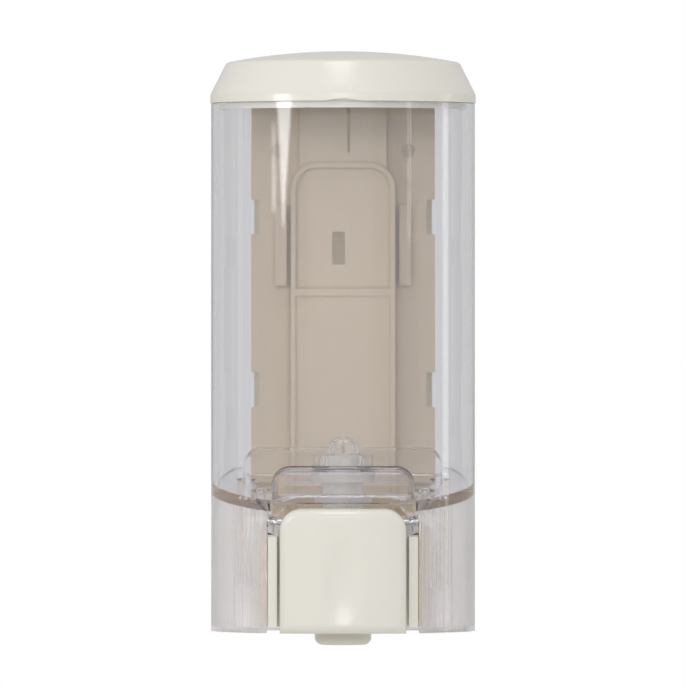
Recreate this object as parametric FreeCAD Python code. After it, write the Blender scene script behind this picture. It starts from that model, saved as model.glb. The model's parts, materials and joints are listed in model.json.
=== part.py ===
import FreeCAD, Part
import math
import os

# Wall mounted soap dispenser with a lift-up lid, a clear tank and a push button pump.
# +X is to the right seen from the front, +Y points into the wall, +Z is up.
# The wall plane is Y = 0 and the origin is the centre of the four wall screws.
# Heights below are above the bottom rim; each finished piece is moved down to the origin at the end.
# All sizes are millimetres.

# Body, seen from above: half a circle in front, two flatter side arcs and a straight back
body_width = 91.0
body_depth = 75.5
body_height = 181.6
side_taper = 6.5
wall_gap = 1.0
screw_centre_height = 91.0

# Tank
tank_wall = 2.2
floor_thickness = 3.3
floor_slope = 10.0
floor_mid_height = 48.4
ear_gusset = 12.0

# Lid
lid_wall = 2.2
lid_proud = 0.3
lid_band = 3.3
lid_flare_height = 8.1
lid_flare_inset = 4.1
lid_rise = 18.2
lid_dome_drop = 4.65
lid_crest_round = 2.5
lid_shoulder_round = 4.0
lid_notch_width = 11.0
lid_notch_height = 0.7
lid_notch_depth = 1.2
lid_lip_drop = 2.0
lid_lip_wall = 1.4
lid_lip_gap = 0.6
lid_lip_root = 3.0
lid_lip_back = 8.0
hinge_back = 11.5
hinge_rise = 6.9
hinge_pin_radius = 2.0
hinge_ear_radius = 3.2
hinge_lug_radius = 3.0
hinge_ear_room = 0.8

# Lower cover
cover_wall = 2.0
cover_floor = 1.8
seam_gap = 0.25
rib_count = 8
rib_pitch = 1.35
rib_width = 0.55
rib_height = 0.7
rib_length = 27.5
post_wall = 0.7
post_seat = 2.5
nozzle_room = 2.0

# Wall plate
plate_width = 65.0
plate_thickness = 3.0
plate_bottom = 1.0
plate_rib = 2.2
block_width = 36.4
block_depth = 10.0
block_top = 161.6
block_corner = 9.0
block_face = 3.0
tongue_width = 30.4
tongue_depth = 8.6
tongue_root = 12.0
slit_width = 1.1
slit_offset = 2.0
slit_bottom = 165.8
pocket_floor = 118.0
pocket_depth = 1.3
pocket_rim = 1.6
panel_bottom = 7.0
panel_top = 115.6
panel_depth = 0.7
pad_x = (19.7, 23.8)
pad_z = (119.2, 147.0)
pad_depth = 5.6
window_x = (-3.8, 0.7)
window_z = (126.4, 137.8)
screw_spacing_x = 46.0
screw_spacing_z = 150.0
screw_hole_radius = 2.4
screw_head_room = 3.2

# Hooks that hold the tank to the plate, and the lift that frees them
hook_bottoms = (66.0, 126.0)
hook_length = 10.0
hook_reach = 2.3
hook_thickness = 1.0
hook_side_gap = 0.7
hook_end_gap = 1.0
flange_thickness = 1.2
body_lift = 12.0

# Button
button_width = 43.2
button_bottom = 0.0
button_top = 42.6
button_corner = 7.5
button_proud = 3.0
button_wall = 2.0
button_front_wall = 3.4
button_crown = 70.0
button_edge = 3.2
button_behind_pivot = 4.5
button_taper = 8.0
pivot_back = 12.5
pivot_height = 38.4
pivot_radius = 1.5
pivot_bore_gap = 0.06
pivot_boss_length = 4.0
pivot_boss_wall = 1.8
pivot_pin_inside = 3.6
pivot_pin_recess = 0.2
pusher_width = 10.0
pusher_rib_width = 2.0
nose_radius = 3.0
dimple_size = (24.0, 20.0, 44.9)
dimple_depth = 1.2
dimple_height = 17.8

# Hood over the button, a raised part of the tank's floor
hood_side_gap = 2.0
hood_top_gap = 1.6
hood_depth = 18.5
ear_bottom = 33.6

# Pump bay in the tank's floor, and the ledge at its back
bay_half_width = 22.0
bay_back = (23.5, 53.5)
bay_top = 57.0
bay_corner = 4.0
floor_edge_round = 1.6
ledge_y = -16.0
ledge_top = 63.0
ledge_corner = 6.0

# Pump
pump_height = 22.0
pump_bore = 10.0
pump_wall = 2.0
pump_length = 29.0
pump_front_back = 19.5
piston_reach = 5.0
piston_disc = 5.0
piston_disc_in = 2.0
piston_head = 2.0
piston_guide = 2.0
piston_guide_gap = 0.75
piston_head_radius = 7.0
piston_stem_radius = 4.2
running_clearance = 0.05
piston_side_gap = 0.3
ring_radius = 0.95
ring_groove_gap = 0.15
inlet_back = 40.5
inlet_radius = 7.0
inlet_bore = 4.2
flange_radius = 11.0
neck_flange = 2.5
gasket_thickness = 1.0
nut_thickness = 3.3
nut_radius = 10.5
nut_notches = 12
nut_notch_radius = 1.5
nut_notch_out = 0.6
neck_above_bay = 3.5
dome_radius = 6.0
dome_wall = 1.2
dome_rim = 0.6
dome_slot_width = 1.0
dome_slot_height = 3.7
strainer_plug = 6.0
strainer_pocket = 8.5
ball_radius = 3.5
ball_lift = 1.5
cage_height = 2.0
cage_bar = 1.0
seat_bore = 2.5
outlet_back = 34.5
outlet_radius = 7.5
outlet_bore = 4.5
outlet_end = 2.0
valve_flange = 1.0
bill_length = 4.6
bill_radii = (0.9, 3.5)
bill_wall = 0.8
bill_slit = (4.0, 0.3)
nozzle_radius = 9.75
nozzle_bottom = -4.6
nozzle_top = 6.0
nozzle_hole = 4.3
nozzle_edge = 2.7
end_cap_thickness = 2.5
end_cap_spigot = 2.5
end_cap_rim = 1.8
end_seal = 0.8
spring_radius = 7.0
spring_wire = 0.45
spring_turns = 6.5
spring_sides = 12
spring_end_gap = 0.1

# Bracket behind the button
bracket_side_gap = 1.0
bracket_side = 3.0
bracket_web = 2.0
bracket_front_back = 8.0
bracket_web_back = 25.5
bracket_bottom = 2.0
bracket_side_top = 33.0
bracket_top = 39.8
bracket_tab = 2.0
bracket_tab_reach = 6.2
bracket_tab_back = 37.5

# Screws and the bosses they enter
thread_radius = 1.25
screw_slack = 0.05
boss_radius = 3.5
bracket_screw_out = 2.2
bracket_screw_back = 31.5
cover_screw_inset = 12.0
cover_screw_behind = 6.0
cover_screw_length = 12.0
cover_boss_bottom = 18.0
head_radius = 2.8
head_height = 1.8
head_round = 0.6
screw_tip = 1.2
screw_end_gap = 0.5
cross_reach = 1.4
cross_width = 0.6
cross_depth = 1.0

# Clearances shared by several fits
fit_gap = 0.4
small_gap = 0.3

# How far joined shapes run into each other, and how far a cut runs past a surface
overlap = 0.1
past = 1.0

far = 300.0

plan_centre_y = -(body_depth - body_width / 2)
side_length = -wall_gap - plan_centre_y
side_radius = (side_length ** 2 + side_taper ** 2) / (2 * side_taper)
recess_half = plate_width / 2 + fit_gap
recess_depth = plate_thickness + screw_head_room + fit_gap
channel_half = block_width / 2 + fit_gap
channel_depth = block_depth + fit_gap
plate_top = body_height - fit_gap
hinge_y = -hinge_back
hinge_z = body_height + hinge_rise
lid_bottom = body_height + small_gap
lid_shoulder = body_height + lid_band
lid_top = body_height + lid_rise
lid_roll = hinge_rise - small_gap
button_half = button_width / 2
button_front = -(body_depth + button_proud)
pivot_y = -(body_depth - pivot_back)
hood_half = button_half + hood_side_gap
hood_top = button_top + hood_top_gap
hood_back = -(body_depth - hood_depth)
pump_front = -(body_depth - pump_front_back)
pump_back = pump_front + pump_length
piston_front = pump_front - piston_reach
disc_front = pump_front + piston_disc_in
disc_back = disc_front + piston_disc
bay_y = (-(body_depth - bay_back[0]), -(body_depth - bay_back[1]))
bay_ceiling = bay_top - tank_wall
inlet_y = -(body_depth - inlet_back)
outlet_y = -(body_depth - outlet_back)
cage_bottom = pump_height + pump_bore + cage_bar
ball_centre = cage_bottom + cage_height + small_gap + ball_radius
seat_height = ball_centre + ball_lift + small_gap + math.sqrt(ball_radius ** 2 - seat_bore ** 2)
neck_top = bay_top + neck_above_bay
bracket_inner = button_half + bracket_side_gap
bracket_outer = bracket_inner + bracket_side
bracket_web_y = -(body_depth - bracket_web_back)
bracket_screw = (bracket_outer + bracket_screw_out, -(body_depth - bracket_screw_back))
cover_screw = (body_width / 2 - cover_screw_inset, plan_centre_y + cover_screw_behind)


def vec(x, y, z):
    return FreeCAD.Vector(x, y, z)


def box(x, y, z):
    """A block between pairs of low and high values."""
    return Part.makeBox(x[1] - x[0], y[1] - y[0], z[1] - z[0], vec(x[0], y[0], z[0]))


def upright(x, y, z, radius):
    """A cylinder standing between two heights."""
    return Part.makeCylinder(radius, z[1] - z[0], vec(x, y, z[0]))


def along_y(x, y, z, radius):
    """A cylinder lying along Y between two depths."""
    return Part.makeCylinder(radius, y[1] - y[0], vec(x, y[0], z), vec(0, 1, 0))


def along_x(x, y, z, radius):
    """A cylinder lying along X between two widths."""
    return Part.makeCylinder(radius, x[1] - x[0], vec(x[0], y, z), vec(1, 0, 0))


def mirrored(shape):
    """The shape and its copy on the other side of the middle plane."""
    return shape.fuse(shape.mirror(vec(0, 0, 0), vec(1, 0, 0)))


def side_prism(points, x):
    """A polygon of (y, z) points drawn out along X."""
    corners = [vec(x[0], y, z) for y, z in points]
    face = Part.Face(Part.makePolygon(corners + corners[:1]))
    return face.extrude(vec(x[1] - x[0], 0, 0))


def arch(half_width, z, y, corner):
    """A slab between two depths whose two top corners are rounded."""
    low, high = z
    rise = corner * (1 - math.sqrt(0.5))
    left = -half_width
    right = half_width
    start = y[0]
    points = [
        vec(left, start, low),
        vec(left, start, high - corner),
        vec(left + corner, start, high),
        vec(right - corner, start, high),
        vec(right, start, high - corner),
        vec(right, start, low),
    ]
    left_turn = vec(left + rise, start, high - rise)
    right_turn = vec(right - rise, start, high - rise)
    edges = [
        Part.LineSegment(points[0], points[1]),
        Part.Arc(points[1], left_turn, points[2]),
        Part.LineSegment(points[2], points[3]),
        Part.Arc(points[3], right_turn, points[4]),
        Part.LineSegment(points[4], points[5]),
        Part.LineSegment(points[5], points[0]),
    ]
    wire = Part.Wire([edge.toShape() for edge in edges])
    return Part.Face(wire).extrude(vec(0, y[1] - y[0], 0))


def side_at(y, inset):
    """Half the body's width at a depth behind its widest line, moved inwards by inset."""
    arc_rise = math.sqrt((side_radius - inset) ** 2 - (y - plan_centre_y) ** 2)
    return body_width / 2 - side_radius + arc_rise


def plan_wire(inset, z):
    """The body's outline seen from above, moved inwards by inset."""
    front_radius = body_width / 2 - inset
    back = -(wall_gap + inset)
    middle = (plan_centre_y + back) / 2
    left_wide = vec(-front_radius, plan_centre_y, z)
    right_wide = vec(front_radius, plan_centre_y, z)
    nose = vec(0, plan_centre_y - front_radius, z)
    right_middle = vec(side_at(middle, inset), middle, z)
    right_back = vec(side_at(back, inset), back, z)
    left_back = vec(-side_at(back, inset), back, z)
    left_middle = vec(-side_at(middle, inset), middle, z)
    edges = [
        Part.Arc(left_wide, nose, right_wide),
        Part.Arc(right_wide, right_middle, right_back),
        Part.LineSegment(right_back, left_back),
        Part.Arc(left_back, left_middle, left_wide),
    ]
    return Part.Wire([edge.toShape() for edge in edges])


def plan_prism(inset, z):
    """The body's outline drawn up between two heights."""
    return Part.Face(plan_wire(inset, z[0])).extrude(vec(0, 0, z[1] - z[0]))


def plan_ring(outer_inset, inner_inset, z):
    """A wall that follows the outline."""
    hollow = plan_prism(inner_inset, (z[0] - past, z[1] + past))
    return plan_prism(outer_inset, z).cut(hollow)


def floor_at(y):
    """Height of the tank floor's underside, which slopes down to the front."""
    return floor_mid_height + math.tan(math.radians(floor_slope)) * (y - plan_centre_y)


def above_floor(offset):
    """Everything over the floor's underside raised by offset."""
    near = (-far, floor_at(-far) + offset)
    deep = (far, floor_at(far) + offset)
    return side_prism([near, deep, (far, far), (-far, far)], (-far, far))


def below_floor(offset):
    """Everything under the floor's underside lowered by offset."""
    near = (-far, floor_at(-far) - offset)
    deep = (far, floor_at(far) - offset)
    return side_prism([near, (-far, -far), (far, -far), deep], (-far, far))


def rounded(shape, radius, wanted):
    """The shape with the edges that wanted picks out rounded."""
    edges = [edge for edge in shape.Edges if wanted(edge)]
    return shape.makeFillet(radius, edges)


def level_edge_at(height, tolerance=0.01):
    """A test for edges that lie level at one height."""

    def wanted(edge):
        bounds = edge.BoundBox
        return abs(bounds.ZMin - height) < tolerance and abs(bounds.ZMax - height) < tolerance

    return wanted


def upright_edge_at(depth, tolerance=0.01):
    """A test for an arch's edges that lie at one depth, leaving out its flat bottom."""

    def wanted(edge):
        bounds = edge.BoundBox
        at_depth = abs(bounds.YMin - depth) < tolerance and abs(bounds.YMax - depth) < tolerance
        return at_depth and (bounds.ZLength > tolerance or bounds.ZMin > floor_mid_height / 2)

    return wanted


def make_tank():
    """Clear tank with its sloped floor, button hood, pump bay and plate recess."""
    outer = plan_prism(0, (0, body_height))
    hollow = plan_prism(tank_wall, (0, body_height + past)).common(above_floor(floor_thickness))
    shell = outer.common(above_floor(0)).cut(hollow)

    hood = arch(
        hood_half + tank_wall,
        (ear_bottom, hood_top + tank_wall),
        (-far, hood_back + tank_wall),
        button_corner + hood_side_gap + tank_wall,
    )
    hood = rounded(hood, floor_edge_round, upright_edge_at(hood_back + tank_wall))
    hood_hollow = arch(
        hood_half, (-far, hood_top), (-far, hood_back), button_corner + hood_side_gap
    )
    under_hood_back = box(
        (-hood_half, hood_half), (hood_back, hood_back + tank_wall + overlap),
        (-far, floor_at(hood_back)),
    )
    bay = arch(
        bay_half_width + tank_wall,
        (0, bay_top),
        (bay_y[0] - tank_wall, bay_y[1] + tank_wall),
        bay_corner + tank_wall,
    )
    bay = rounded(bay, floor_edge_round, upright_edge_at(bay_y[0] - tank_wall))
    bay = rounded(bay, floor_edge_round, upright_edge_at(bay_y[1] + tank_wall))
    bay_hollow = arch(bay_half_width, (-far, bay_ceiling), bay_y, bay_corner)
    recess_wall = box(
        (-recess_half - tank_wall, recess_half + tank_wall),
        (-recess_depth - tank_wall, -wall_gap),
        (0, body_height),
    )
    channel_wall = box(
        (-channel_half - tank_wall, channel_half + tank_wall),
        (-channel_depth - tank_wall, -wall_gap),
        (0, body_height),
    )
    ledge = arch(recess_half + tank_wall, (0, ledge_top), (ledge_y, -wall_gap), ledge_corner)
    ledge = rounded(ledge, floor_edge_round, upright_edge_at(ledge_y))
    ledge_hollow = arch(
        recess_half,
        (-far, ledge_top - tank_wall),
        (ledge_y + tank_wall, far),
        ledge_corner - tank_wall,
    )
    recess = box((-recess_half, recess_half), (-recess_depth, far), (-far, far))
    channel = box((-channel_half, channel_half), (-channel_depth, far), (-far, far))

    hood_walls = hood.common(plan_prism(0, (ear_bottom, body_height)))
    inner_walls = bay.fuse([recess_wall, channel_wall, ledge])
    inner_walls = inner_walls.common(outer).common(above_floor(0))
    bosses = [
        upright(bracket_screw[0], bracket_screw[1], (bracket_top + small_gap, far), boss_radius),
        upright(cover_screw[0], cover_screw[1], (cover_boss_bottom, far), boss_radius),
    ]
    boss_set = mirrored(bosses[0].fuse(bosses[1])).common(below_floor(-floor_thickness / 2))
    tank = shell.fuse([hood_walls, inner_walls, boss_set])
    tank = tank.cut([hood_hollow, under_hood_back, bay_hollow, ledge_hollow, recess, channel])
    neck_z = (bay_ceiling - past, bay_top + past)
    tank = tank.cut(upright(0, inlet_y, neck_z, inlet_radius + fit_gap / 2))

    wall_x = (recess_half, recess_half + tank_wall)
    ear_y = (hinge_y - hinge_ear_radius, hinge_y + hinge_ear_radius)
    gusset = box(wall_x, (ear_y[0], -recess_depth), (body_height - ear_gusset, body_height))
    ear = box(wall_x, ear_y, (body_height, hinge_z))
    ear = ear.fuse([gusset, along_x(wall_x, hinge_y, hinge_z, hinge_ear_radius)])
    ear = ear.cut(
        along_x((0, far), hinge_y, hinge_z, hinge_pin_radius + running_clearance)
    )
    hook_x = (plate_width / 2 - hook_reach, recess_half + tank_wall / 2)
    hook_y = (-fit_gap - hook_thickness, -fit_gap)
    hooks = [box(hook_x, hook_y, (low, low + hook_length)) for low in hook_bottoms]
    tank = tank.fuse(mirrored(ear.fuse(hooks)))

    holes = [
        along_x((0, far), pivot_y, pivot_height, pivot_radius + running_clearance),
        upright(
            bracket_screw[0], bracket_screw[1],
            (0, floor_at(bracket_screw[1]) + screw_end_gap), thread_radius,
        ),
        upright(
            cover_screw[0], cover_screw[1],
            (0, cover_boss_bottom + cover_screw_length), thread_radius,
        ),
    ]
    return tank.cut(mirrored(holes[0].fuse(holes[1:]))).removeSplitter()


def lid_form(shrink, bottom):
    """The lid's outer shape, or its hollow when shrunk by the wall."""
    side = shrink - lid_proud
    shoulder = lid_shoulder - shrink / 2
    peak_side = side + lid_flare_inset / lid_flare_height * (lid_top - shoulder)
    band = plan_prism(side, (bottom, shoulder))
    flare = Part.makeLoft([plan_wire(side, shoulder), plan_wire(peak_side, lid_top)], True, True)
    back = -(wall_gap + lid_flare_inset)
    corner_reach = math.hypot(side_at(back, lid_flare_inset), back - plan_centre_y)
    radius = (corner_reach ** 2 + lid_dome_drop ** 2) / (2 * lid_dome_drop)
    dome = Part.makeSphere(radius - shrink, vec(0, plan_centre_y, lid_top - radius))
    return band.fuse(flare).common(dome).removeSplitter()


def behind_hinge(radius):
    """The space behind the hinge line outside the lid's rolled back edge."""
    space = box((-far, far), (hinge_y, far), (0, far))
    return space.cut(along_x((-far, far), hinge_y, hinge_z, radius))


def make_lid():
    """Domed lid with a rolled back edge, two hinge lugs with pins and a locating lip."""
    form = lid_form(0, lid_bottom)

    def crest_edge(edge):
        bounds = edge.BoundBox
        above = bounds.ZMin > lid_shoulder + lid_flare_height / 2
        return above and bounds.ZMax < lid_top - past and bounds.DiagonalLength > lid_lip_back

    form = rounded(form, lid_crest_round, crest_edge)
    form = rounded(form, lid_shoulder_round, level_edge_at(lid_shoulder))
    hollow = lid_form(lid_wall, body_height - past).cut(behind_hinge(lid_roll - lid_wall))
    lid = form.cut(behind_hinge(lid_roll)).cut(hollow)

    wall_inner = lid_wall - lid_proud - overlap
    lip_outer = tank_wall + lid_lip_gap
    lip_inner = lip_outer + lid_lip_wall
    root = lid_bottom + lid_lip_root
    collar = plan_ring(wall_inner, lip_inner, (lid_bottom, root))
    lip = plan_ring(lip_outer, lip_inner, (body_height - lid_lip_drop, root))
    front_part = box((-far, far), (-far, plan_centre_y + lid_lip_back), (0, far))
    lid = lid.fuse(collar.fuse(lip).common(front_part))

    ear_x = (recess_half, recess_half + tank_wall)
    slot = box(
        (ear_x[0] - small_gap, ear_x[1] + small_gap),
        (hinge_y - hinge_ear_radius - hinge_ear_room, 0),
        (body_height - past, hinge_z + hinge_ear_radius + hinge_ear_room),
    )
    lid = lid.cut(mirrored(slot))
    lug_x = (ear_x[0] - small_gap - tank_wall, ear_x[0] - small_gap)
    lug_y = (hinge_y - hinge_lug_radius, hinge_y + hinge_lug_radius)
    lug = box(lug_x, lug_y, (hinge_z, lid_top))
    lug = lug.common(lid_form(lid_wall / 4, body_height))
    pin = along_x((lug_x[0], ear_x[1] - overlap), hinge_y, hinge_z, hinge_pin_radius)
    lug = lug.fuse([along_x(lug_x, hinge_y, hinge_z, hinge_lug_radius), pin])
    lid = lid.fuse(mirrored(lug))
    notch_radius = (lid_notch_width ** 2 / 4 + lid_notch_height ** 2) / (2 * lid_notch_height)
    notch_z = lid_bottom + lid_notch_height - notch_radius
    notch = along_y(0, (-far, -body_depth + lid_notch_depth), notch_z, notch_radius)
    notch = notch.common(box((-far, far), (-far, far), (body_height, far)))
    return lid.cut(notch).removeSplitter()


def make_lower_cover():
    """Clear skirt round the pump, open at the front and back, with inner ribs."""
    under = below_floor(seam_gap)
    outer = plan_prism(0, (0, far)).common(under)
    hollow = plan_prism(cover_wall, (cover_floor, far))
    cover = outer.cut(hollow)

    band = plan_ring(cover_wall - overlap, cover_wall + rib_height, (cover_floor, far))
    first = hood_half + tank_wall + rib_pitch
    short_zone = above_floor(-rib_length)
    short_ribs = []
    long_ribs = []
    for number in range(rib_count):
        x = first + number * rib_pitch
        rib = box((x - rib_width / 2, x + rib_width / 2), (-far, plan_centre_y), (0, far))
        if number % 2:
            long_ribs.append(rib)
        else:
            short_ribs.append(rib)
    short_set = short_ribs[0].fuse(short_ribs[1:]).common(short_zone)
    comb = mirrored(short_set.fuse(long_ribs))
    cover = cover.fuse(band.common(comb).common(under))

    post_top = cover_boss_bottom - small_gap
    x, y = cover_screw
    post = upright(x, y, (0, post_top), boss_radius + post_wall)
    well = upright(x, y, (-past, post_top - post_seat), head_radius + fit_gap)
    shaft = upright(x, y, (0, far), thread_radius + fit_gap)
    cover = cover.fuse(mirrored(post)).cut(mirrored(well.fuse(shaft)))

    opening_half = hood_half + tank_wall + small_gap
    nozzle_back = outlet_y + nozzle_radius + nozzle_room
    front_opening = box((-opening_half, opening_half), (-far, nozzle_back), (-far, far))
    plate_space = box((-recess_half, recess_half), (-channel_depth, far), (-far, far))
    return cover.cut([front_opening, plate_space]).removeSplitter()


def make_wall_plate():
    """Plate screwed to the wall, with its hollow block, tongue, pocket and hook flanges."""
    half = plate_width / 2
    plate = box((-half, half), (-plate_thickness, 0), (plate_bottom, plate_top))
    block_half = block_width / 2
    tongue_half = tongue_width / 2
    block = arch(block_half, (plate_bottom, block_top), (-block_depth, 0), block_corner)
    tongue = box((-tongue_half, tongue_half), (-tongue_depth, 0), (block_top - tongue_root, plate_top))
    wall = plate_rib
    block_hollow = arch(
        block_half - wall, (plate_bottom + wall, block_top - wall),
        (-block_depth + block_face, far), block_corner - wall,
    )
    tongue_hollow = box(
        (-tongue_half + wall, tongue_half - wall), (-tongue_depth + wall, far),
        (block_top - tongue_root - wall, plate_top - wall),
    )
    pocket = arch(
        block_half - pocket_rim, (pocket_floor, block_top - pocket_rim),
        (-far, -block_depth + pocket_depth), block_corner - pocket_rim,
    )
    panel = box(
        (-block_half + pocket_rim, block_half - pocket_rim),
        (-far, -block_depth + panel_depth), (panel_bottom, panel_top),
    )
    slit = box(
        (slit_offset - slit_width / 2, slit_offset + slit_width / 2),
        (-far, -plate_thickness), (slit_bottom, far),
    )
    slit = slit.fuse(along_y(slit_offset, (-far, -plate_thickness), slit_bottom, slit_width / 2))
    window = box(window_x, (-far, far), window_z)
    pads = mirrored(box(pad_x, (-pad_depth, -plate_thickness), pad_z))
    plate = plate.fuse([block, tongue, pads])
    plate = plate.cut([block_hollow, tongue_hollow, pocket, panel])
    plate = plate.cut([slit, window])

    cuts = []
    for x in (-screw_spacing_x / 2, screw_spacing_x / 2):
        for z in (-screw_spacing_z / 2, screw_spacing_z / 2):
            cuts.append(along_y(x, (-far, far), screw_centre_height + z, screw_hole_radius))
    flange_x = (half - hook_reach - hook_side_gap, far)
    for low in hook_bottoms:
        notch_bottom = low + body_lift - hook_end_gap
        notch_top = low + body_lift + hook_length + hook_end_gap
        behind = box(
            flange_x, (-plate_thickness + flange_thickness, far), (low - small_gap, notch_top)
        )
        notch = box(flange_x, (-far, far), (notch_bottom, notch_top))
        cuts.append(mirrored(behind.fuse(notch)))
    return plate.cut(cuts).removeSplitter()


def button_form(shrink, front, back):
    """The button's crowned outer shape, or its hollow when shrunk by the wall."""
    form = arch(
        button_half - shrink, (button_bottom + shrink, button_top - shrink),
        (front - past, back), button_corner - shrink,
    )
    return form.common(upright(0, front + button_crown, (-far, far), button_crown))


def make_push_button():
    """Push button: a crowned shell with a thumb dimple, two pivot bosses and a pusher."""
    back = pivot_y + button_behind_pivot
    form = button_form(0, button_front, back)
    front_zone = button_front + button_front_wall + button_edge
    form = rounded(form, button_edge, lambda edge: edge.BoundBox.YMax < front_zone)
    scale = FreeCAD.Matrix()
    scale.scale(*dimple_size)
    dimple = Part.makeSphere(1.0).transformGeometry(scale)
    dimple.translate(vec(0, button_front - dimple_size[1] + dimple_depth, dimple_height))
    hollow = button_form(button_wall, button_front + button_front_wall, far)
    button = form.cut([hollow, dimple])

    boss_x = (button_half - pivot_boss_length, button_half)
    boss = along_x(boss_x, pivot_y, pivot_height, pivot_radius + pivot_boss_wall)
    nose_y = piston_front - small_gap - nose_radius
    pusher_x = (-pusher_width / 2, pusher_width / 2)
    pusher_y = (button_front + button_front_wall - overlap, nose_y)
    pusher = box(
        pusher_x, pusher_y, (pump_height - nose_radius, pump_height + nose_radius)
    )
    nose = along_x(pusher_x, nose_y, pump_height, nose_radius)
    pusher_rib = box(
        (-pusher_rib_width / 2, pusher_rib_width / 2), pusher_y,
        (pump_height, button_top - button_wall + overlap),
    )
    behind = side_prism(
        [
            (back, button_top + past), (back - button_taper, button_bottom - past),
            (far, button_bottom - past), (far, button_top + past),
        ],
        (-far, far),
    )
    bosses = mirrored(boss).common(button_form(0, button_front, back))
    button = button.fuse(pusher_rib).cut(behind).fuse([bosses, pusher, nose])
    bore = along_x(boss_x, pivot_y, pivot_height, pivot_radius + pivot_bore_gap)
    return button.cut(mirrored(bore))


def make_pivot_pins():
    """Two stub pins pressed into the hood's ears, on which the button turns."""
    pin_x = (button_half - pivot_pin_inside, hood_half + tank_wall - pivot_pin_recess)
    return mirrored(along_x(pin_x, pivot_y, pivot_height, pivot_radius))


def make_pump_bracket():
    """U-shaped frame that holds the pump's front end and closes the button's sides."""
    web_y = (bracket_web_y, bracket_web_y + bracket_web)
    side_y = (-(body_depth - bracket_front_back), web_y[1])
    side = box((bracket_inner, bracket_outer), side_y, (bracket_bottom, bracket_side_top))
    web = box((0, bracket_outer), web_y, (bracket_bottom, bracket_top))
    tab = box(
        (bracket_inner, bracket_outer + bracket_tab_reach),
        (web_y[0], -(body_depth - bracket_tab_back)),
        (bracket_top - bracket_tab, bracket_top),
    )
    x, y = bracket_screw
    tab = tab.cut(upright(x, y, (0, far), thread_radius + fit_gap))
    bracket = mirrored(side.fuse([web, tab]))
    hole = pump_bore + pump_wall + fit_gap / 2
    pump_hole = along_y(0, (-far, 0), pump_height, hole)
    outlet_gap = box((-hole, hole), web_y, (0, pump_height))
    return bracket.cut([pump_hole, outlet_gap]).removeSplitter()


def make_pump_body():
    """Pump cylinder lying front to back, with its inlet neck above and outlet below."""
    outer = along_y(0, (pump_front, pump_back), pump_height, pump_bore + pump_wall)
    inlet = upright(0, inlet_y, (pump_height, neck_top), inlet_radius)
    flange_top = bay_ceiling - gasket_thickness
    flange = upright(0, inlet_y, (flange_top - neck_flange, flange_top), flange_radius)
    outlet = upright(0, outlet_y, (outlet_end, pump_height), outlet_radius)
    body = outer.fuse([inlet, flange, outlet])
    bore = along_y(0, (pump_front - past, pump_back + past), pump_height, pump_bore)
    strainer_floor = neck_top - strainer_pocket
    passages = [
        bore,
        upright(0, inlet_y, (pump_height, seat_height), inlet_bore),
        upright(0, inlet_y, (seat_height, strainer_floor + past), seat_bore),
        upright(0, inlet_y, (strainer_floor, neck_top + past), inlet_bore),
        upright(0, outlet_y, (outlet_end - past, pump_height), outlet_bore),
    ]
    return body.cut(passages).removeSplitter()


def make_pump_end_cap():
    """Cap that closes the pump cylinder's back end."""
    disc_y = (pump_back + end_seal, pump_back + end_seal + end_cap_thickness)
    disc = along_y(0, disc_y, pump_height, pump_bore + pump_wall)
    spigot = along_y(
        0, (pump_back - end_cap_spigot, disc_y[0]), pump_height, pump_bore - running_clearance
    )
    dish_y = (pump_back - end_cap_spigot - past, pump_back)
    dish = along_y(0, dish_y, pump_height, pump_bore - end_cap_rim)
    return disc.fuse(spigot).cut(dish).removeSplitter()


def make_end_cap_seal():
    """Flat ring between the pump cylinder and its end cap."""
    y = (pump_back, pump_back + end_seal)
    ring = along_y(0, y, pump_height, pump_bore + pump_wall)
    return ring.cut(along_y(0, y, pump_height, pump_bore))


def ring_groove_y():
    return (disc_front + disc_back) / 2


def make_piston():
    """Piston with the head that the button pushes and a groove for its ring."""
    head_y = (piston_front, piston_front + piston_head)
    head = along_y(0, head_y, pump_height, piston_head_radius)
    stem = along_y(0, (piston_front, disc_back), pump_height, piston_stem_radius)
    disc = along_y(0, (disc_front, disc_back), pump_height, pump_bore - piston_side_gap)
    guide_radius = spring_radius - spring_wire - piston_guide_gap
    guide = along_y(0, (disc_back, disc_back + piston_guide), pump_height, guide_radius)
    half_groove = ring_radius + ring_groove_gap
    middle = ring_groove_y()
    groove = along_y(0, (middle - half_groove, middle + half_groove), pump_height, far)
    core_radius = pump_bore - 2 * running_clearance - 2 * ring_radius
    core = along_y(0, (middle - 2 * half_groove, middle + 2 * half_groove), pump_height, core_radius)
    return head.fuse([stem, disc, guide]).cut(groove.cut(core)).removeSplitter()


def make_piston_o_ring():
    """Rubber ring in the piston's groove."""
    centre = vec(0, ring_groove_y(), pump_height)
    major = pump_bore - running_clearance - ring_radius
    return Part.makeTorus(major, ring_radius, centre, vec(0, 1, 0))


def make_return_spring():
    """Coil spring between the piston and the end cap."""
    start = disc_back + spring_end_gap + spring_wire
    end = pump_back - end_cap_spigot - spring_end_gap - spring_wire
    length = end - start
    helix = Part.makeHelix(length / spring_turns, length, spring_radius)
    corners = []
    for number in range(spring_sides + 1):
        angle = math.radians(360 * number / spring_sides)
        x = spring_radius + spring_wire * math.cos(angle)
        corners.append(vec(x, 0, spring_wire * math.sin(angle)))
    section = Part.Wire(Part.makePolygon(corners).Edges)
    spring = Part.Wire(helix.Edges).makePipeShell([section], True, True)
    spring.rotate(vec(0, 0, 0), vec(1, 0, 0), -90)
    spring.translate(vec(0, start, pump_height))
    return spring


def make_inlet_gasket():
    """Rubber ring under the pump bay's ceiling."""
    z = (bay_ceiling - gasket_thickness, bay_ceiling)
    ring = upright(0, inlet_y, z, flange_radius)
    return ring.cut(upright(0, inlet_y, z, inlet_radius + overlap))


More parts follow.
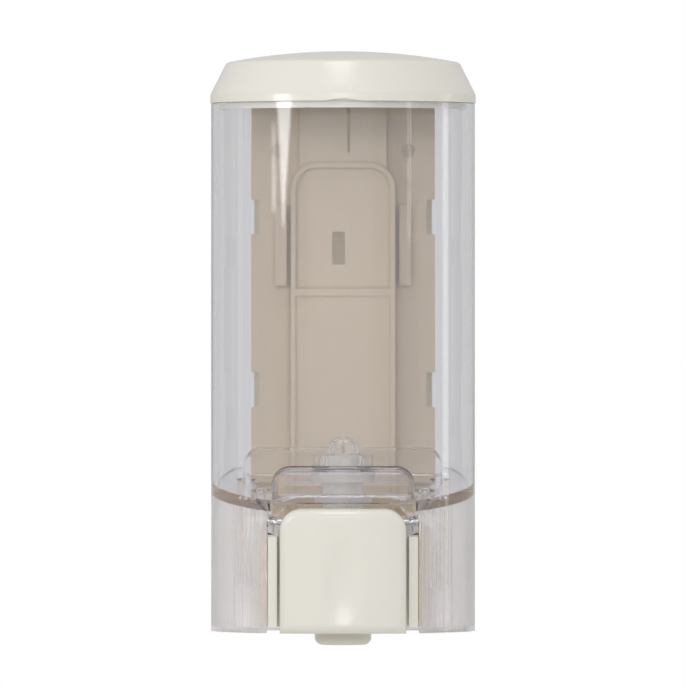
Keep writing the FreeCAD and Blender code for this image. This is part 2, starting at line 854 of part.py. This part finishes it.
def make_inlet_nut():
    """Round nut with finger notches that clamps the pump to the tank's floor."""
    z = (bay_top, bay_top + nut_thickness)
    nut = upright(0, inlet_y, z, nut_radius)
    notches = []
    notch_reach = nut_radius + nut_notch_out
    for number in range(nut_notches):
        angle = math.radians(360 * number / nut_notches)
        x = notch_reach * math.cos(angle)
        y = inlet_y + notch_reach * math.sin(angle)
        notches.append(upright(x, y, z, nut_notch_radius))
    hole = upright(0, inlet_y, z, inlet_radius + running_clearance)
    return nut.cut(notches + [hole])


def make_inlet_strainer():
    """Domed strainer plugged into the top of the inlet neck."""
    rim_top = neck_top + dome_rim
    plug_bottom = neck_top - strainer_plug
    rim = upright(0, inlet_y, (neck_top, rim_top), dome_radius)
    upper = upright(0, inlet_y, (rim_top, rim_top + dome_radius), dome_radius)
    dome = Part.makeSphere(dome_radius, vec(0, inlet_y, rim_top)).common(upper)
    plug = upright(0, inlet_y, (plug_bottom, neck_top), inlet_bore - running_clearance)
    hollow = Part.makeSphere(dome_radius - dome_wall, vec(0, inlet_y, rim_top)).common(upper)
    throat_z = (plug_bottom - past, rim_top + past)
    throat = upright(0, inlet_y, throat_z, inlet_bore - dome_wall)
    strainer = rim.fuse([dome, plug]).cut([hollow, throat])
    slots = []
    slot_bottom = rim_top + small_gap
    for number in range(4):
        slot = box(
            (-dome_radius, dome_radius), (-dome_slot_width / 2, dome_slot_width / 2),
            (slot_bottom, slot_bottom + dome_slot_height),
        )
        slot.rotate(vec(0, 0, 0), vec(0, 0, 1), 45 * number)
        slot.translate(vec(0, inlet_y, 0))
        slots.append(slot)
    return strainer.cut(slots).removeSplitter()


def make_inlet_ball():
    """Ball that closes the inlet when the piston is pushed."""
    return Part.makeSphere(ball_radius, vec(0, inlet_y, ball_centre))


def make_ball_cage():
    """Ring with a cross that keeps the ball out of the pump cylinder."""
    z = (cage_bottom, cage_bottom + cage_height)
    outer = inlet_bore - running_clearance
    half_bar = cage_bar / 2
    reach = outer - half_bar
    ring = upright(0, inlet_y, z, outer).cut(upright(0, inlet_y, z, outer - cage_bar))
    bars = [
        box((-reach, reach), (inlet_y - half_bar, inlet_y + half_bar), z),
        box((-half_bar, half_bar), (inlet_y - reach, inlet_y + reach), z),
    ]
    return ring.fuse(bars).removeSplitter()


def make_outlet_valve():
    """Rubber duckbill valve clamped between the outlet neck and the nozzle."""
    bill_top = outlet_end - valve_flange
    bill_bottom = bill_top - bill_length
    tip, root = bill_radii
    flange = upright(0, outlet_y, (bill_top, outlet_end), outlet_radius - fit_gap / 2)
    bill = Part.makeCone(tip, root, bill_length, vec(0, outlet_y, bill_bottom))
    inside = Part.makeCone(
        tip - bill_wall / 2, root - bill_wall, bill_length + valve_flange,
        vec(0, outlet_y, bill_bottom + bill_wall),
    )
    slit_length, slit_gap = bill_slit
    lips = box(
        (-slit_gap / 2, slit_gap / 2),
        (outlet_y - slit_length / 2, outlet_y + slit_length / 2),
        (bill_bottom - past, bill_bottom + bill_wall + overlap),
    )
    return flange.fuse(bill).cut([inside, lips]).removeSplitter()


def make_nozzle():
    """Round nozzle that screws over the outlet neck."""
    body = upright(0, outlet_y, (nozzle_bottom, nozzle_top), nozzle_radius)
    body = rounded(body, nozzle_edge, level_edge_at(nozzle_bottom))
    socket_z = (outlet_end - valve_flange, nozzle_top + past)
    socket = upright(0, outlet_y, socket_z, outlet_radius + running_clearance)
    hole = upright(0, outlet_y, (nozzle_bottom - past, nozzle_top), nozzle_hole)
    return body.cut([socket, hole])


def make_screw(x, y, seat, length):
    """Self-tapping screw driven upwards, its cross recess facing down."""
    shank = upright(x, y, (seat, seat + length), thread_radius - screw_slack)
    tip = Part.makeCone(
        thread_radius - screw_slack, thread_radius / 4, screw_tip, vec(x, y, seat + length)
    )
    head_bottom = seat - head_height
    head = upright(x, y, (head_bottom, seat), head_radius)
    head = rounded(head, head_round, level_edge_at(head_bottom))
    half = cross_width / 2
    z = (head_bottom - past, head_bottom + cross_depth)
    cross = box((x - cross_reach, x + cross_reach), (y - half, y + half), z)
    cross = cross.fuse(box((x - half, x + half), (y - cross_reach, y + cross_reach), z))
    return head.fuse([shank, tip]).cut(cross).removeSplitter()


def make_bracket_screws():
    """Two screws that hold the bracket to the tank's floor."""
    x, y = bracket_screw
    reach = floor_at(y) - bracket_top
    return mirrored(make_screw(x, y, bracket_top - bracket_tab, reach))


def make_cover_screws():
    """Two screws that hold the lower cover to the tank's long bosses."""
    x, y = cover_screw
    seat = cover_boss_bottom - small_gap - post_seat
    return mirrored(make_screw(x, y, seat, cover_screw_length))


nodes = {
    "wall_plate": make_wall_plate,
    "tank": make_tank,
    "lower_cover": make_lower_cover,
    "lid": make_lid,
    "push_button": make_push_button,
    "pivot_pins": make_pivot_pins,
    "pump_bracket": make_pump_bracket,
    "pump_body": make_pump_body,
    "pump_end_cap": make_pump_end_cap,
    "end_cap_seal": make_end_cap_seal,
    "piston": make_piston,
    "piston_o_ring": make_piston_o_ring,
    "return_spring": make_return_spring,
    "inlet_gasket": make_inlet_gasket,
    "inlet_nut": make_inlet_nut,
    "inlet_strainer": make_inlet_strainer,
    "inlet_ball": make_inlet_ball,
    "ball_cage": make_ball_cage,
    "outlet_valve": make_outlet_valve,
    "nozzle": make_nozzle,
    "bracket_screws": make_bracket_screws,
    "cover_screws": make_cover_screws,
}

os.makedirs("parts", exist_ok=True)
for name, make in nodes.items():
    piece = make()
    piece.translate(vec(0, 0, -screw_centre_height))
    piece.exportStep("parts/" + name + ".step")
    print(name, len(piece.Solids), "solids", round(piece.Volume / 1000, 2), "cm3", piece.isValid())
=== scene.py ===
# Wall mounted soap dispenser: looks, lights and camera around its CAD frame
import json
import math
import bmesh
import bpy
from mathutils import Matrix, Vector


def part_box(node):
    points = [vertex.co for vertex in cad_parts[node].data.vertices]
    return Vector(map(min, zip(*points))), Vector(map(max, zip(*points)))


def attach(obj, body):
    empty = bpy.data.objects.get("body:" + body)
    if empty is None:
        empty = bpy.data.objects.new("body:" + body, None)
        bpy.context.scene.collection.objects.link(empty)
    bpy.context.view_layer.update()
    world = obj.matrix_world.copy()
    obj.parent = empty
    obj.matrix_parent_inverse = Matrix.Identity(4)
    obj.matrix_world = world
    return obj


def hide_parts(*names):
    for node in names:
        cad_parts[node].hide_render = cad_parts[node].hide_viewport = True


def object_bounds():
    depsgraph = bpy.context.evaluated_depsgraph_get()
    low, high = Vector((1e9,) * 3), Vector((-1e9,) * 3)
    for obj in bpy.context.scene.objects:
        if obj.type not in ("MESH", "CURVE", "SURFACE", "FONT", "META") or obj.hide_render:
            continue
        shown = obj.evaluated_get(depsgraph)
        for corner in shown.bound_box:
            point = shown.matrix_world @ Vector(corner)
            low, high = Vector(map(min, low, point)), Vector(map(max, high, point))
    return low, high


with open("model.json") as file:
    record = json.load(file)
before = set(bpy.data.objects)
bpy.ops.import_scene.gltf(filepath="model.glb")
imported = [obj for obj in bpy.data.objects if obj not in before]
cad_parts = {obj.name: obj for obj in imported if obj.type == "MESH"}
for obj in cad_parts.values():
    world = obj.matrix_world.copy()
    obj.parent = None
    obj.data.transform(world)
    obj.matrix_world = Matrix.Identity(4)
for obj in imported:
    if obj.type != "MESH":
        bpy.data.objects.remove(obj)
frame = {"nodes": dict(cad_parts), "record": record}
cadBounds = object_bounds()
mm = 0.001

# the body's middle, taken from the tank: its widest line is half its width behind its nose
tankLow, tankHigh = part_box("tank")
widestY = tankLow.y + (tankHigh.x - tankLow.x) / 2
wholeLow, wholeHigh = Vector(cadBounds[0]), Vector(cadBounds[1])
middle = Vector((0, widestY, (wholeLow.z + wholeHigh.z) / 2))


cameraView = {
    "distance": 3.9,         # m, from the widest line of the body
    "frameWidth": 236.7,     # mm seen across the picture at that line
    "eyeHeight": 8.2,        # mm above the origin
    "sensor": 36.0,          # mm
}


def addCamera(view):
    camera = bpy.data.objects.new("camera", bpy.data.cameras.new("camera"))
    bpy.context.scene.collection.objects.link(camera)
    camera.location = (0, widestY - view["distance"], view["eyeHeight"] * mm)
    camera.rotation_euler = (math.radians(90), 0, 0)
    camera.data.sensor_width = view["sensor"]
    camera.data.lens = view["sensor"] * view["distance"] / (view["frameWidth"] * mm)
    bpy.context.scene.camera = camera


addCamera(cameraView)

# azimuth 0 is in front, positive to the left, in degrees; lift, distance and size in metres, power in watts
# a light that isn't mirrored brightens surfaces without showing in them
studioLights = {
    "wedgeSoftbox": {"azimuth": 51.5, "lift": 0.112, "distance": 0.45, "size": (0.10, 0.10), "roll": 40,
                     "power": 0.25},
    "leftSlip": {"azimuth": 61, "lift": 0.068, "distance": 0.45, "size": (0.026, 0.034), "roll": 0,
                 "power": 0.012},
    "rightStrip": {"azimuth": -59, "lift": 0.12, "distance": 0.60, "size": (0.016, 0.16), "roll": 0,
                   "power": 0.03},
    "farRightStrip": {"azimuth": -100, "lift": 0.05, "distance": 0.70, "size": (0.06, 0.36), "roll": 0,
                      "power": 0.16},
    "frontFill": {"azimuth": 2, "lift": 0.35, "distance": 2.2, "size": (2.4, 1.6), "roll": 0, "power": 7.6,
                  "mirrored": False},
    "highFill": {"azimuth": -6, "lift": 1.9, "distance": 1.7, "size": (1.2, 0.8), "roll": 0, "power": 2.5,
                 "mirrored": False},
    "topSoftbox": {"azimuth": 4, "lift": 1.2, "distance": 0.5, "size": (0.4, 0.5), "roll": 0, "power": 2.4},
    "thumbGlow": {"azimuth": 1, "lift": 0.36, "distance": 2.0, "size": (0.70, 0.22), "roll": 0, "power": 2.4},
}


def addSoftLight(name, light):
    data = bpy.data.lights.new(name, "AREA")
    data.shape = "RECTANGLE"
    data.size, data.size_y = light["size"]
    data.energy = light["power"]
    lamp = bpy.data.objects.new(name, data)
    bpy.context.scene.collection.objects.link(lamp)
    lamp.visible_glossy = light.get("mirrored", True)
    turn = math.radians(light["azimuth"])
    offset = Vector((-math.sin(turn), -math.cos(turn), 0)) * light["distance"]
    lamp.location = middle + offset + Vector((0, 0, light["lift"]))
    aim = (middle - lamp.location).to_track_quat("-Z", "Y").to_matrix().to_4x4()
    lamp.matrix_world = (
        Matrix.Translation(lamp.location) @ aim @ Matrix.Rotation(math.radians(light["roll"]), 4, "Z")
    )


for lightName, lightValues in studioLights.items():
    addSoftLight(lightName, lightValues)
print("camera and lights in place")


def linear(hexColour):  # sRGB hex to the linear colour that the nodes use
    parts = [int(hexColour[i:i + 2], 16) / 255 for i in (0, 2, 4)]
    return [p / 12.92 if p <= 0.04045 else ((p + 0.055) / 1.055) ** 2.4 for p in parts] + [1.0]


# adds one node, sets its properties and sockets, and links its inputs
def addNode(tree, kind, settings=None, links=None):
    node = tree.nodes.new(kind)
    for key, value in (settings or {}).items():
        if hasattr(node, key):
            setattr(node, key, value)
        else:
            node.inputs[key].default_value = value
    for key, source in (links or {}).items():
        tree.links.new(source, node.inputs[key])
    return node


surroundings = {
    "seen": "FFFFFF",        # what the camera sees behind the object
    "behind": 0.60,          # light from behind the object
    "front": 0.52,           # light from the camera's side
    "turnFrom": -0.35,       # where, along the depth, the front light starts to give way
    "turnTo": 0.6,
}

clearBounces = 24            # enough for the four clear walls and the pump behind them
clearCutouts = 32


def addSurroundings(values):
    world = bpy.data.worlds.new("studio")
    bpy.context.scene.world = world
    world.use_nodes = True
    tree = world.node_tree
    tree.nodes.clear()
    where = addNode(tree, "ShaderNodeTexCoord")
    split = addNode(tree, "ShaderNodeSeparateXYZ", {}, {"Vector": where.outputs["Generated"]})
    ramp = addNode(
        tree, "ShaderNodeMapRange",
        {"interpolation_type": "SMOOTHSTEP", "From Min": values["turnFrom"], "From Max": values["turnTo"],
         "To Min": values["front"], "To Max": values["behind"]},
        {"Value": split.outputs["Y"]},
    )
    lit = addNode(
        tree, "ShaderNodeBackground", {"Color": linear("FFFFFF")}, {"Strength": ramp.outputs["Result"]}
    )
    seen = addNode(tree, "ShaderNodeBackground", {"Color": linear(values["seen"]), "Strength": 1.0})
    ray = addNode(tree, "ShaderNodeLightPath")
    mix = addNode(tree, "ShaderNodeMixShader", {}, {0: ray.outputs["Is Camera Ray"]})
    tree.links.new(lit.outputs["Background"], mix.inputs[1])
    tree.links.new(seen.outputs["Background"], mix.inputs[2])
    out = addNode(tree, "ShaderNodeOutputWorld")
    tree.links.new(mix.outputs["Shader"], out.inputs["Surface"])


addSurroundings(surroundings)
bpy.context.scene.view_settings.view_transform = "Standard"
bpy.context.scene.cycles.max_bounces = clearBounces
bpy.context.scene.cycles.transmission_bounces = clearBounces
bpy.context.scene.cycles.transparent_max_bounces = clearCutouts
print("surroundings set")


filmSize = 9                 # mm, the faint handling film on clear plastic
blotchSize = 24              # mm, slow colour drift of a moulding
paintedShadeFull = 0.35            # openness at which a corner has its full painted shade
paintedShadeNone = 0.95            # openness at which it has none


def startMaterial(name):
    material = bpy.data.materials.new(name)
    material.use_nodes = True
    tree = material.node_tree
    tree.nodes.clear()
    place = addNode(tree, "ShaderNodeTexCoord").outputs["Object"]
    return material, tree, place


def endMaterial(tree, surface, volume=None):
    out = addNode(tree, "ShaderNodeOutputMaterial", {}, {"Surface": surface})
    if volume:
        tree.links.new(volume, out.inputs["Volume"])


def grain(tree, place, size, detail=3.0):  # noise whose features are about size metres across
    noise = addNode(tree, "ShaderNodeTexNoise", {"Scale": 1 / size, "Detail": detail}, {"Vector": place})
    return noise.outputs["Fac"]


def spread(tree, value, low, high):  # a 0 to 1 value moved to another range
    node = addNode(tree, "ShaderNodeMapRange", {"To Min": low, "To Max": high}, {"Value": value})
    return node.outputs["Result"]


def bumps(tree, height, depth):
    bump = addNode(tree, "ShaderNodeBump", {"Strength": 1.0, "Distance": depth}, {"Height": height})
    return bump.outputs["Normal"]


# what the clear mouldings share: refraction, slow waves, a light shadow, a tint that grows with thickness
def clearPlastic(name, values):
    material, tree, place = startMaterial(name)
    stretch = addNode(tree, "ShaderNodeVectorMath", {"operation": "MULTIPLY"}, {0: place})
    stretch.inputs[1].default_value = (1, 1, values["flow"])
    wave = grain(tree, stretch.outputs["Vector"], values["waveSize"] * mm, 2.0)
    normal = bumps(tree, wave, values["waveDepth"] * mm)
    film = grain(tree, place, filmSize * mm, 4.0)
    body = addNode(
        tree, "ShaderNodeBsdfPrincipled",
        {"Base Color": linear(values["colour"]), "IOR": values["ior"],
         "Transmission Weight": values["clearness"], "Metallic": 0.0},
        {"Normal": normal, "Roughness": spread(tree, film, *values["roughness"])},
    )
    through = addNode(tree, "ShaderNodeBsdfTransparent", {"Color": linear(values["shadow"])})
    ray = addNode(tree, "ShaderNodeLightPath")
    mix = addNode(tree, "ShaderNodeMixShader", {}, {0: ray.outputs["Is Shadow Ray"]})
    tree.links.new(body.outputs["BSDF"], mix.inputs[1])
    tree.links.new(through.outputs["BSDF"], mix.inputs[2])
    tint = addNode(
        tree, "ShaderNodeVolumeAbsorption",
        {"Color": linear(values["edgeTint"]), "Density": values["edgeDensity"]},
    )
    endMaterial(tree, mix.outputs["Shader"], tint.outputs["Volume"])
    return material


def blend(tree, factor, low, high):  # one colour turning into another as the factor goes from 0 to 1
    node = addNode(tree, "ShaderNodeMix", {"data_type": "RGBA"})
    sockets = {"A": low, "B": high, "Factor": factor}
    for socket in node.inputs:
        if socket.enabled and socket.name in sockets:
            source = sockets[socket.name]
            if isinstance(source, list):
                socket.default_value = source
            else:
                tree.links.new(source, socket)
    return [socket for socket in node.outputs if socket.enabled][0]


# what the opaque mouldings share: a soft sheen, a fine orange peel, and painted shade in corners if given
def mouldedPlastic(name, values):
    material, tree, place = startMaterial(name)
    peel = grain(tree, place, values["peelSize"] * mm)
    blotch = grain(tree, place, blotchSize * mm, 2.0)
    colour = blend(tree, blotch, linear(values["colour"]), linear(values["deep"]))
    if "corners" in values:
        shadeTone, reach, amount = values["corners"]
        # painted shade: ambient occlusion darkens the colour towards a given tone in corners and recesses
        hollow = addNode(
            tree, "ShaderNodeAmbientOcclusion", {"samples": 8, "only_local": True, "Distance": reach * mm}
        )
        shade = addNode(
            tree, "ShaderNodeMapRange",
            {"From Min": paintedShadeFull, "From Max": paintedShadeNone, "To Min": amount, "To Max": 0.0},
            {"Value": hollow.outputs["AO"]},
        )
        colour = blend(tree, shade.outputs["Result"], colour, linear(shadeTone))
    body = addNode(
        tree, "ShaderNodeBsdfPrincipled", {"IOR": 1.54, "Metallic": 0.0},
        {"Base Color": colour, "Roughness": spread(tree, peel, *values["roughness"]),
         "Normal": bumps(tree, peel, values["peelDepth"] * mm)},
    )
    endMaterial(tree, body.outputs["BSDF"])
    return material


def rubberMaterial(name, values):  # what the rubbers share: dull, with a soft edge sheen
    material, tree, place = startMaterial(name)
    dust = grain(tree, place, values["dustSize"] * mm)
    body = addNode(
        tree, "ShaderNodeBsdfPrincipled",
        {"Base Color": linear(values["colour"]), "IOR": 1.45, "Sheen Weight": 0.15},
        {"Roughness": spread(tree, dust, *values["roughness"]),
         "Normal": bumps(tree, dust, values["dustDepth"] * mm)},
    )
    endMaterial(tree, body.outputs["BSDF"])
    return material


# drawn stainless steel: bright, with fine lines that break up its shine
def stainlessSteel():
    name = "stainlessSteel"
    values = {"colour": "E6E5E2", "roughness": (0.22, 0.36), "lineSize": 0.6, "lineDepth": 0.005}
    material, tree, place = startMaterial(name)
    lines = grain(tree, place, values["lineSize"] * mm, 5.0)
    body = addNode(
        tree, "ShaderNodeBsdfPrincipled",
        {"Base Color": linear(values["colour"]), "Metallic": 1.0},
        {"Roughness": spread(tree, lines, *values["roughness"]),
         "Normal": bumps(tree, lines, values["lineDepth"] * mm)},
    )
    endMaterial(tree, body.outputs["BSDF"])
    return material


# clear styrene acrylonitrile, injection moulded: glassy, violet where it is thick, with slow upright waves
def clearSanMoulded():
    return clearPlastic("clearSanMoulded", {
        "colour": "FDFDFE", "clearness": 0.985, "roughness": (0.02, 0.05), "ior": 1.40, "waveSize": 14,
        "waveDepth": 0.04, "flow": 0.12, "shadow": "F1F1F3", "edgeTint": "C2BCE6", "edgeDensity": 9.0,
    })


# the same plastic from a matt mould: a hazy grey through which the ribs still show
def clearSanHazy():
    return clearPlastic("clearSanHazy", {
        "colour": "FEFCFC", "clearness": 0.78, "roughness": (0.15, 0.20), "ior": 1.40, "waveSize": 14,
        "waveDepth": 0.01, "flow": 0.3, "shadow": "F8F8FA", "edgeTint": "DAD4E0", "edgeDensity": 1.0,
    })


# small parts of that plastic, frosted and seen through the tank: faint outlines only
def clearSanFrosted():
    return clearPlastic("clearSanFrosted", {
        "colour": "F6F4F2", "clearness": 0.9, "roughness": (0.08, 0.14), "ior": 1.18, "waveSize": 6,
        "waveDepth": 0.004, "flow": 1.0, "shadow": "F2F2F2", "edgeTint": "D6D0DC", "edgeDensity": 4.0,
    })


# uncoloured polypropylene, moulded: milky, lets light through but no picture
def translucentPolypropylene():
    return clearPlastic("translucentPolypropylene", {
        "colour": "F3EFE8", "clearness": 0.55, "roughness": (0.30, 0.40), "ior": 1.40, "waveSize": 6,
        "waveDepth": 0.004, "flow": 1.0, "shadow": "F0EEE8", "edgeTint": "E4DED2", "edgeDensity": 8.0,
    })


# ABS from a polished mould: warm white with soft, clear highlights
def whiteAbsGloss():
    return mouldedPlastic("whiteAbsGloss", {
        "colour": "EEEBE2", "deep": "EBE8DE", "roughness": (0.17, 0.21), "peelSize": 0.8, "peelDepth": 0.0008,
    })


# ABS from a satin mould: even ivory without highlights, with painted shade in its corners
def ivoryAbsSatin():
    return mouldedPlastic("ivoryAbsSatin", {
        "colour": "DAC8AA", "deep": "D3C2A3", "roughness": (0.42, 0.52), "peelSize": 0.7, "peelDepth": 0.008,
        "corners": ("94804F", 1.8, 0.4),  # painted shade tone, reach in mm, strength
    })


# acetal, moulded: a slippery off-white satin
def whitePomSatin():
    return mouldedPlastic("whitePomSatin", {
        "colour": "ECEAE2", "deep": "E6E3D9", "roughness": (0.35, 0.45), "peelSize": 0.7, "peelDepth": 0.004,
    })


# cream polypropylene, moulded: softer and yellower than the button beside it
def creamPolypropylene():
    return mouldedPlastic("creamPolypropylene", {
        "colour": "EAE6D8", "deep": "E4E0CF", "roughness": (0.26, 0.34), "peelSize": 0.8, "peelDepth": 0.004,
    })


# nitrile rubber, moulded: near black and dull
def blackNitrile():
    return rubberMaterial("blackNitrile", {
        "colour": "1C1C1D", "roughness": (0.55, 0.7), "dustSize": 2, "dustDepth": 0.01,
    })


# silicone rubber, moulded: a milky grey with a weak sheen
def milkySilicone():
    return rubberMaterial("milkySilicone", {
        "colour": "DAD8D0", "roughness": (0.45, 0.6), "dustSize": 2, "dustDepth": 0.01,
    })


finishes = {
    "clear_san": clearSanMoulded(),
    "clear_cover": clearSanHazy(),
    "clear_soft": clearSanFrosted(),
    "natural_pp": translucentPolypropylene(),
    "white_abs": whiteAbsGloss(),
    "ivory_abs": ivoryAbsSatin(),
    "white_pom": whitePomSatin(),
    "cream_pp": creamPolypropylene(),
    "black_rubber": blackNitrile(),
    "silicone": milkySilicone(),
    "stainless": stainlessSteel(),
}
print("materials made:", len(finishes))


slotOf = {s["node"]: s["material_slot"] for s in frame["record"]["subparts"]}
bodyOf = {}
for bodyName, members in frame["record"]["behaviour"]["bodies"].items():
    for member in members:
        bodyOf[member] = bodyName


def dress(obj, node, finish):  # gives a piece its finish and its body, and hides the CAD node it stands for
    obj.data.materials.clear()
    obj.data.materials.append(finish)
    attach(obj, bodyOf[node])
    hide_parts(node)


smoothing = {
    "merge": 0.002,          # mm, points closer than this become one
    "flat": 0.3,             # degrees, flatter edges are dissolved
    "corner": 28,            # degrees, sharper edges stay crisp
}


# a merged copy of a CAD node, with smooth curves and crisp corners
def smoothCopy(node, name, values):
    mesh = frame["nodes"][node].data.copy()
    mesh.name = name
    obj = bpy.data.objects.new(name, mesh)
    bpy.context.scene.collection.objects.link(obj)
    shape = bmesh.new()
    shape.from_mesh(mesh)
    bmesh.ops.remove_doubles(shape, verts=shape.verts, dist=values["merge"] * mm)
    bmesh.ops.dissolve_limit(
        shape, angle_limit=math.radians(values["flat"]), verts=shape.verts, edges=shape.edges
    )
    for face in shape.faces:
        face.smooth = True
    for edge in shape.edges:
        edge.smooth = edge.calc_face_angle(0) < math.radians(values["corner"])
    shape.to_mesh(mesh)
    shape.free()
    if "custom_normal" in mesh.attributes:
        mesh.attributes.remove(mesh.attributes["custom_normal"])
    return obj


copies = {
    "tank": "tankShell",
    "lower_cover": "coverShell",
    "lid": "lidShell",
    "push_button": "buttonShell",
    "wall_plate": "wallPlateMoulding",
    "pump_bracket": "bracketFrame",
    "pump_body": "pumpCylinder",
    "pump_end_cap": "pumpEndCap",
    "nozzle": "nozzleTip",
    "inlet_nut": "inletNut",
    "inlet_strainer": "inletStrainer",
}
frosted = ("inlet_nut", "inlet_strainer")
for node, pieceName in copies.items():
    piece = smoothCopy(node, pieceName, smoothing)
    dress(piece, node, finishes["clear_soft" if node in frosted else slotOf[node]])
for node, obj in frame["nodes"].items():
    if node not in copies:
        obj.data.materials.clear()
        obj.data.materials.append(finishes[slotOf[node]])
print("pieces dressed:", len(copies))


# a flat sheet on the stage, shaped and placed by a matrix, with one paint
def addSheet(name, matrix, paintName, values):
    shape = bmesh.new()
    bmesh.ops.create_grid(shape, x_segments=1, y_segments=1, size=0.5)
    bmesh.ops.transform(shape, matrix=matrix, verts=shape.verts)
    mesh = bpy.data.meshes.new(name)
    shape.to_mesh(mesh)
    shape.free()
    sheet = bpy.data.objects.new(name, mesh)
    bpy.context.scene.collection.objects.link(sheet)
    material, tree, place = startMaterial(paintName)
    patches = grain(tree, place, values["patches"] * mm)
    body = addNode(
        tree, "ShaderNodeBsdfPrincipled", {"Base Color": linear(values["colour"])},
        {"Roughness": spread(tree, patches, *values["roughness"])},
    )
    endMaterial(tree, body.outputs["BSDF"])
    mesh.materials.append(material)
    return sheet


floorValues = {"drop": 320, "size": 10.0, "colour": "F2F1EE", "patches": 40, "roughness": (0.7, 0.9)}


def addFloor(values):  # matt pale paint, far enough below to hide its shadow
    down = Matrix.Translation((0, 0, wholeLow.z - values["drop"] * mm))
    addSheet("floor", down @ Matrix.Diagonal((values["size"], values["size"], 1, 1)), "palePaint", values)


addFloor(floorValues)

wallPatchValues = {"gap": 0.4, "margin": 1.0, "colour": "C8C0AC", "patches": 20, "roughness": (0.7, 0.9)}


# the wall right behind the plate: only rays that pass through clear plastic meet it
def addWallPatch(values):
    low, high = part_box("wall_plate")
    margin = values["margin"] * mm
    size = (high.x - low.x - 2 * margin, high.z - low.z - 2 * margin, 1, 1)
    centre = ((low.x + high.x) / 2, values["gap"] * mm, (low.z + high.z) / 2)
    upright = Matrix.Rotation(math.radians(90), 4, "X")
    patch = addSheet(
        "wallPatch", Matrix.Translation(centre) @ upright @ Matrix.Diagonal(size), "wallPaint", values
    )
    patch.visible_camera = False
    patch.visible_diffuse = False
    patch.visible_glossy = False
    patch.visible_shadow = False


addWallPatch(wallPatchValues)
print("floor and wall patch placed")
